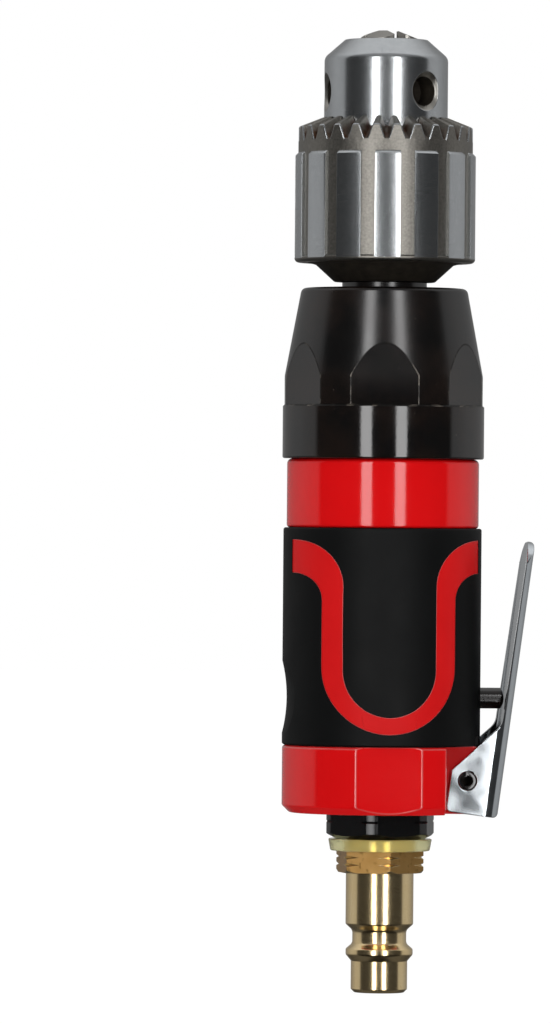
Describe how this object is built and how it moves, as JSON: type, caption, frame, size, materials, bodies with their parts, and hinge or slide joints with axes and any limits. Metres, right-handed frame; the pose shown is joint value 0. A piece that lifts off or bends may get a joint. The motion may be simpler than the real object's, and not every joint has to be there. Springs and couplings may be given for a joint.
{
  "type": "air drill",
  "caption": "Straight hand-held air drill with a keyed three-jaw chuck, ribbed toothed sleeve, rubber grip, side throttle lever and brass hose plug.",
  "frame": {"origin": "on the tool axis, where the cylindrical nose of the air plug begins", "axes": "+Z along the tool axis towards the chuck, +X towards the throttle lever, -Y the front of the grip"},
  "size_m": [0.0445, 0.0356, 0.1702],
  "materials": {
    "red_enamel": "glossy red enamel over machined aluminium",
    "satin_red": "satin red soft plastic",
    "grip_rubber": "matt black moulded rubber",
    "black_oxide": "blackened steel, oiled and glossy",
    "chrome": "bright chrome plating on bent steel sheet",
    "bright_steel": "ground bright steel",
    "dull_steel": "machined steel, grey and slightly oily",
    "brass": "turned pale brass",
    "washer_plastic": "translucent yellow-green sealing plastic",
    "felt": "pressed felt",
    "seal_rubber": "black nitrile rubber",
    "vane_resin": "fabric-filled resin"
  },
  "bodies": {
    "housing": {"motor_housing": "red_enamel", "front_housing": "black_oxide", "rear_cap": "red_enamel", "grip_sleeve": "grip_rubber", "grip_inlay_front": "satin_red", "grip_inlay_back": "satin_red", "ring_gear": "dull_steel", "gear_spacer": "dull_steel", "motor_cylinder": "dull_steel", "front_end_plate": "dull_steel", "rear_end_plate": "dull_steel", "rear_gasket": "seal_rubber", "cylinder_dowels": "bright_steel", "rotor_front_bearing_outer": "bright_steel", "rotor_rear_bearing_outer": "bright_steel", "spindle_front_bearing_outer": "bright_steel", "spindle_rear_bearing_outer": "bright_steel", "nose_seal": "felt", "inlet_bush": "black_oxide", "inlet_screen": "dull_steel", "sealing_washer": "washer_plastic", "air_plug": "brass", "lever_pin": "black_oxide", "valve_bush": "brass", "pin_seal": "seal_rubber", "valve_spring": "dull_steel", "valve_plug": "dull_steel", "exhaust_silencer": "felt"},
    "lever": {"throttle_lever": "chrome"},
    "valve": {"throttle_pin": "black_oxide", "valve_poppet": "brass", "poppet_seal": "seal_rubber"},
    "rotor": {"rotor": "dull_steel", "vane_1": "vane_resin", "vane_2": "vane_resin", "vane_3": "vane_resin", "vane_4": "vane_resin", "vane_5": "vane_resin", "rotor_front_bearing_inner": "bright_steel", "rotor_rear_bearing_inner": "bright_steel"},
    "rotor_front_balls": {"rotor_front_bearing_balls": "bright_steel"},
    "rotor_rear_balls": {"rotor_rear_bearing_balls": "bright_steel"},
    "spindle": {"spindle": "dull_steel", "planet_pins": "bright_steel", "spindle_front_bearing_inner": "bright_steel", "spindle_rear_bearing_inner": "bright_steel", "bearing_spacer": "dull_steel", "spindle_collar": "black_oxide", "chuck_body": "bright_steel"},
    "spindle_front_balls": {"spindle_front_bearing_balls": "bright_steel"},
    "spindle_rear_balls": {"spindle_rear_bearing_balls": "bright_steel"},
    "planet_1": {"planet_gear_1": "bright_steel"},
    "planet_2": {"planet_gear_2": "bright_steel"},
    "planet_3": {"planet_gear_3": "bright_steel"},
    "sleeve": {"chuck_sleeve": "dull_steel", "chuck_nut": "dull_steel"},
    "jaw_1": {"chuck_jaw_1": "bright_steel"},
    "jaw_2": {"chuck_jaw_2": "bright_steel"},
    "jaw_3": {"chuck_jaw_3": "bright_steel"}
  },
  "joints": [
    {"name": "spindle_spin", "type": "hinge", "parent": "housing", "child": "spindle", "pos_m": [0, 0, 0.11], "axis": [0, 0, 1], "continuous": true},
    {"name": "rotor_spin", "type": "hinge", "parent": "housing", "child": "rotor", "pos_m": [0, 0, 0.082], "axis": [0, 0, 1], "continuous": true},
    {"name": "rotor_front_balls_spin", "type": "hinge", "parent": "housing", "child": "rotor_front_balls", "pos_m": [0, 0, 0.1], "axis": [0, 0, 1], "continuous": true},
    {"name": "rotor_rear_balls_spin", "type": "hinge", "parent": "housing", "child": "rotor_rear_balls", "pos_m": [0, 0, 0.064], "axis": [0, 0, 1], "continuous": true},
    {"name": "spindle_front_balls_spin", "type": "hinge", "parent": "housing", "child": "spindle_front_balls", "pos_m": [0, 0, 0.1207], "axis": [0, 0, 1], "continuous": true},
    {"name": "spindle_rear_balls_spin", "type": "hinge", "parent": "housing", "child": "spindle_rear_balls", "pos_m": [0, 0, 0.1147], "axis": [0, 0, 1], "continuous": true},
    {"name": "planet_1_spin", "type": "hinge", "parent": "spindle", "child": "planet_1", "pos_m": [0.00825, 0, 0.105], "axis": [0, 0, 1], "continuous": true},
    {"name": "planet_2_spin", "type": "hinge", "parent": "spindle", "child": "planet_2", "pos_m": [-0.00413, 0.00714, 0.105], "axis": [0, 0, 1], "continuous": true},
    {"name": "planet_3_spin", "type": "hinge", "parent": "spindle", "child": "planet_3", "pos_m": [-0.00413, -0.00714, 0.105], "axis": [0, 0, 1], "continuous": true},
    {"name": "sleeve_turn", "type": "hinge", "parent": "spindle", "child": "sleeve", "pos_m": [0, 0, 0.14], "axis": [0, 0, 1], "range_deg": [-1700, 2200]},
    {"name": "jaw_1_slide", "type": "slide", "parent": "spindle", "child": "jaw_1", "axis": [-0.1898, -0.0196, 0.9816], "range_m": [-0.0098, 0.0076]},
    {"name": "jaw_2_slide", "type": "slide", "parent": "spindle", "child": "jaw_2", "axis": [0.1119, -0.1546, 0.9816], "range_m": [-0.0098, 0.0076]},
    {"name": "jaw_3_slide", "type": "slide", "parent": "spindle", "child": "jaw_3", "axis": [0.0779, 0.1742, 0.9816], "range_m": [-0.0098, 0.0076]},
    {"name": "lever_pull", "type": "hinge", "parent": "housing", "child": "lever", "pos_m": [0.0148, 0, 0.0371], "axis": [0, -1, 0], "range_deg": [0, 7.5], "stiffness_Nm_per_rad": 0.6, "springref_deg": -8.59},
    {"name": "throttle_slide", "type": "slide", "parent": "housing", "child": "valve", "axis": [-1, 0, 0], "range_m": [0, 0.002], "deforming": ["valve_spring"]}
  ],
  "couplings": [
    {"joint": "rotor_spin", "follows": "spindle_spin", "ratio": 5.5},
    {"joint": "rotor_front_balls_spin", "follows": "spindle_spin", "ratio": 2.2183},
    {"joint": "rotor_rear_balls_spin", "follows": "spindle_spin", "ratio": 2.2183},
    {"joint": "spindle_front_balls_spin", "follows": "spindle_spin", "ratio": 0.42091},
    {"joint": "spindle_rear_balls_spin", "follows": "spindle_spin", "ratio": 0.42091},
    {"joint": "planet_1_spin", "follows": "spindle_spin", "ratio": -2.5714},
    {"joint": "planet_2_spin", "follows": "spindle_spin", "ratio": -2.5714},
    {"joint": "planet_3_spin", "follows": "spindle_spin", "ratio": -2.5714},
    {"joint": "jaw_1_slide", "follows": "sleeve_turn", "m_per_rad": -0.00025465},
    {"joint": "jaw_2_slide", "follows": "sleeve_turn", "m_per_rad": -0.00025465},
    {"joint": "jaw_3_slide", "follows": "sleeve_turn", "m_per_rad": -0.00025465},
    {"joint": "throttle_slide", "follows": "lever_pull", "m_per_rad": 0.0149}
  ]
}
